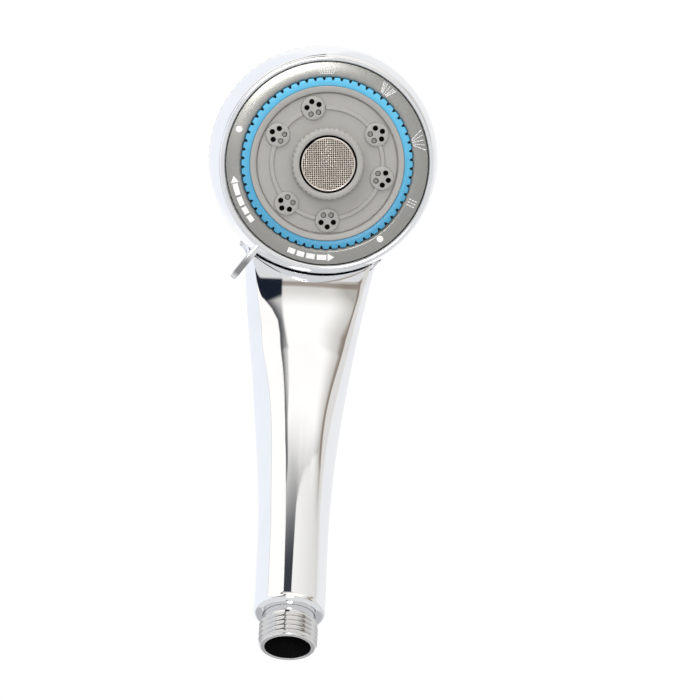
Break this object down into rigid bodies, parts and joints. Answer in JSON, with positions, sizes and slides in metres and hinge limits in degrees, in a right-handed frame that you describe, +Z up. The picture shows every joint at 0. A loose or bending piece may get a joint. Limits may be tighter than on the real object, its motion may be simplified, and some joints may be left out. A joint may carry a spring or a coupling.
{
  "type": "handheld shower head",
  "caption": "Handheld shower head with a tilted round spray face, a turning selector ring with a lever, a tapered handle and a threaded hose end.",
  "frame": {"origin": "centre of the threaded hose end's lower face", "axes": "+Z up the handle from the hose end, -Y towards the spray side, +X to the right seen from the front"},
  "size_m": [0.0848, 0.0922, 0.2209],
  "materials": {
    "plated_plastic": "polished",
    "plated_metal": "polished",
    "steel": "satin",
    "dial_grey": "satin",
    "plate_grey": "satin",
    "blue_plastic": "satin",
    "inner_plastic": "satin",
    "black_rubber": "matte",
    "mesh_steel": "satin"
  },
  "bodies": {
    "body": {"handle_shell": "plated_plastic", "inlet_nipple": "plated_metal", "tube_seal_lower": "black_rubber", "flow_regulator": "inner_plastic", "regulator_ring": "black_rubber", "inlet_strainer": "inner_plastic", "water_tube": "inner_plastic", "tube_seal_upper": "black_rubber", "manifold": "inner_plastic", "manifold_screws": "steel", "manifold_seal": "black_rubber", "hub_seal": "black_rubber", "click_spring": "steel", "chamber_body": "inner_plastic", "port_gaskets": "black_rubber", "hub_screw": "steel", "dial_ring": "dial_grey", "bezel": "plated_plastic", "jet_ring": "blue_plastic", "nozzle_plate": "plate_grey", "aerator_collar": "plate_grey", "aerator_core": "inner_plastic", "aerator_cup": "steel", "mesh_screen": "mesh_steel"},
    "selector": {"grip_ring": "plated_plastic", "lever": "plated_plastic", "valve_disc": "inner_plastic", "valve_screws": "steel"},
    "click": {"click_ball": "steel"}
  },
  "joints": [
    {"name": "selector_turn", "type": "hinge", "parent": "body", "child": "selector", "pos_m": [0, -0.0539, 0.1724], "axis": [0, -0.7727, -0.6347], "range_deg": [-74, 74]},
    {"name": "click_ball_press", "type": "slide", "parent": "body", "child": "click", "axis": [0, -0.7727, -0.6347], "range_m": [0, 0.0006]}
  ]
}
